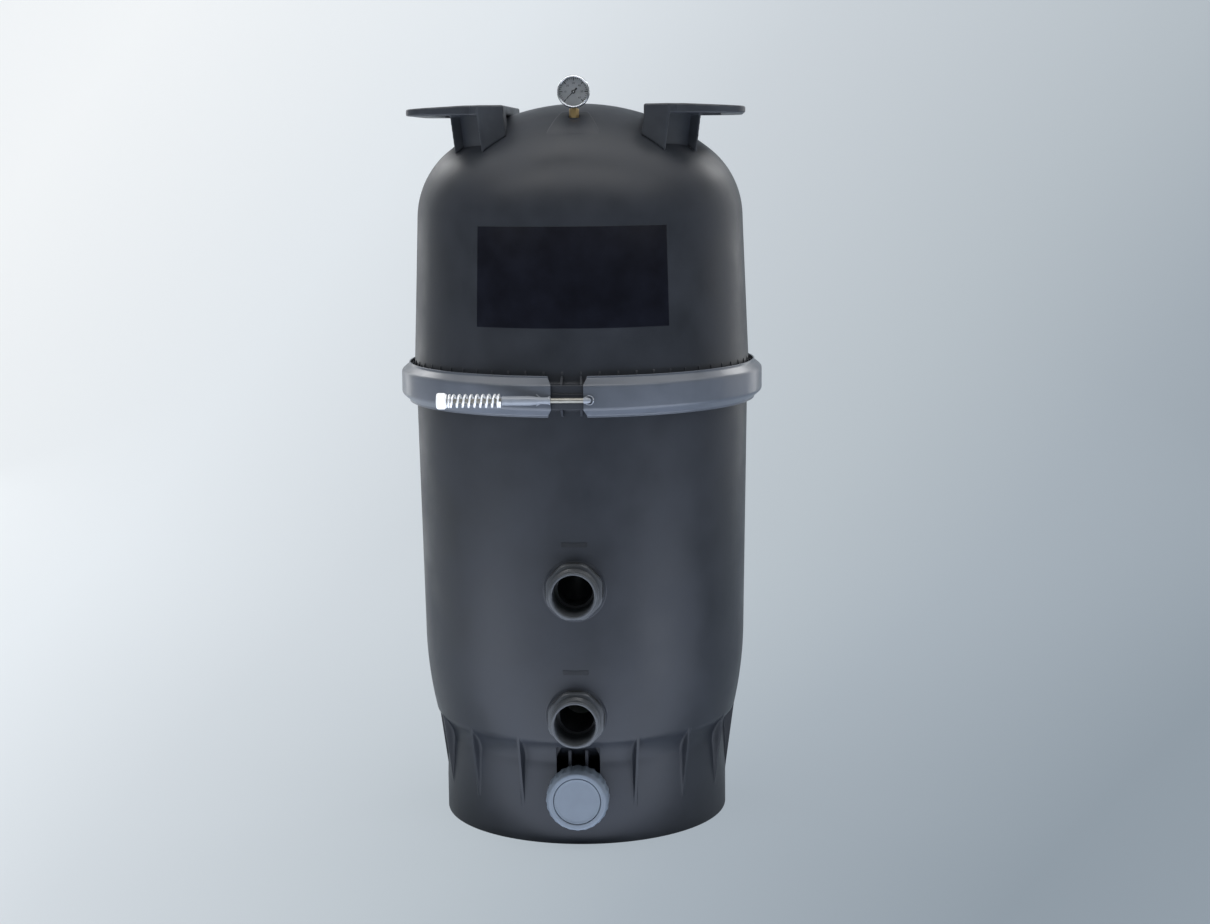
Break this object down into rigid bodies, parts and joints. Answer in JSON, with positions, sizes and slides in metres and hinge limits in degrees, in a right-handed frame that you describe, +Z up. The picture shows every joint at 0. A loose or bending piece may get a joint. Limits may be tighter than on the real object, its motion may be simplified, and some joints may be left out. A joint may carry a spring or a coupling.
{
  "type": "cartridge filter",
  "caption": "Upright two-part tank filter with pleated cartridges, band clamp, front ports, capped drain, lift handles and a pressure gauge.",
  "frame": {"origin": "floor level at the middle of the base, on the tank's axis", "axes": "+Z up the tank's axis, -Y out of the ports at the front, +X to the right"},
  "size_m": [0.5799, 0.5939, 1.185],
  "materials": {
    "tank": "fine satin moulding texture",
    "band": "dull satin rolled sheet",
    "bolt": "plain stainless",
    "spring": "bright stainless wire",
    "nut": "bright plated",
    "port": "smooth satin moulding",
    "drain": "smooth blue-grey moulding",
    "seal": "soft black rubber",
    "inner": "natural white moulding",
    "strainer": "fine steel sleeve",
    "media": "spun polyester felt",
    "core": "natural moulding",
    "cap": "blue potting compound",
    "brass": "turned brass",
    "gauge": "pressed polished steel",
    "dial": "grey printed face",
    "pointer": "black",
    "lens": "clear flat window"
  },
  "bodies": {
    "base": {"lower_tank": "tank", "tank_seal": "seal", "clamp_band": "band", "tension_bolt": "bolt", "clamp_spring": "spring", "inlet_port": "port", "inlet_gasket": "seal", "inlet_lock_nut": "port", "inlet_diffuser": "inner", "outlet_port": "port", "outlet_gasket": "seal", "outlet_lock_nut": "port", "outlet_pipe": "inner", "bottom_manifold": "inner", "top_manifold": "inner", "air_tube": "inner", "air_strainer": "strainer", "media_1": "media", "core_1": "core", "top_cap_1": "cap", "bottom_cap_1": "cap", "media_2": "media", "core_2": "core", "top_cap_2": "cap", "bottom_cap_2": "cap", "media_3": "media", "core_3": "core", "top_cap_3": "cap", "bottom_cap_3": "cap", "media_4": "media", "core_4": "core", "top_cap_4": "cap", "bottom_cap_4": "cap"},
    "lid": {"upper_tank": "tank", "left_handle": "tank", "right_handle": "tank", "gauge_stem": "brass", "gauge_case": "gauge", "gauge_dial": "dial", "gauge_lens": "lens", "gauge_bezel": "gauge"},
    "pointer": {"gauge_pointer": "pointer"},
    "washer": {"clamp_washer": "bolt"},
    "band_nut": {"clamp_nut": "nut"},
    "plug": {"drain_plug": "drain", "drain_seal": "seal"},
    "drain_ring": {"drain_nut": "drain"}
  },
  "joints": [
    {"name": "lid_lift", "type": "slide", "parent": "base", "child": "lid", "axis": [0, 0, 1], "range_m": [0, 0.42]},
    {"name": "pointer_turn", "type": "hinge", "parent": "lid", "child": "pointer", "pos_m": [0, -0.136, 1.16], "axis": [0, 1, 0], "range_deg": [0, 270], "stiffness_Nm_per_rad": 0.0005},
    {"name": "washer_slide", "type": "slide", "parent": "base", "child": "washer", "axis": [1, 0, 0], "range_m": [0, 0.02], "deforming": ["clamp_spring"]},
    {"name": "band_nut_turn", "type": "hinge", "parent": "washer", "child": "band_nut", "pos_m": [-0.19, -0.2915, 0.7048], "axis": [1, 0, 0], "range_deg": [0, 4114]},
    {"name": "plug_slide", "type": "slide", "parent": "base", "child": "plug", "axis": [0, -1, 0], "range_m": [0, 0.03]},
    {"name": "drain_ring_turn", "type": "hinge", "parent": "plug", "child": "drain_ring", "pos_m": [0, -0.25, 0.0806], "axis": [0, -1, 0], "range_deg": [0, 3400]}
  ],
  "couplings": [
    {"joint": "washer_slide", "follows": "band_nut_turn", "m_per_rad": 0.00027852},
    {"joint": "plug_slide", "follows": "drain_ring_turn", "m_per_rad": 0.00050532}
  ]
}
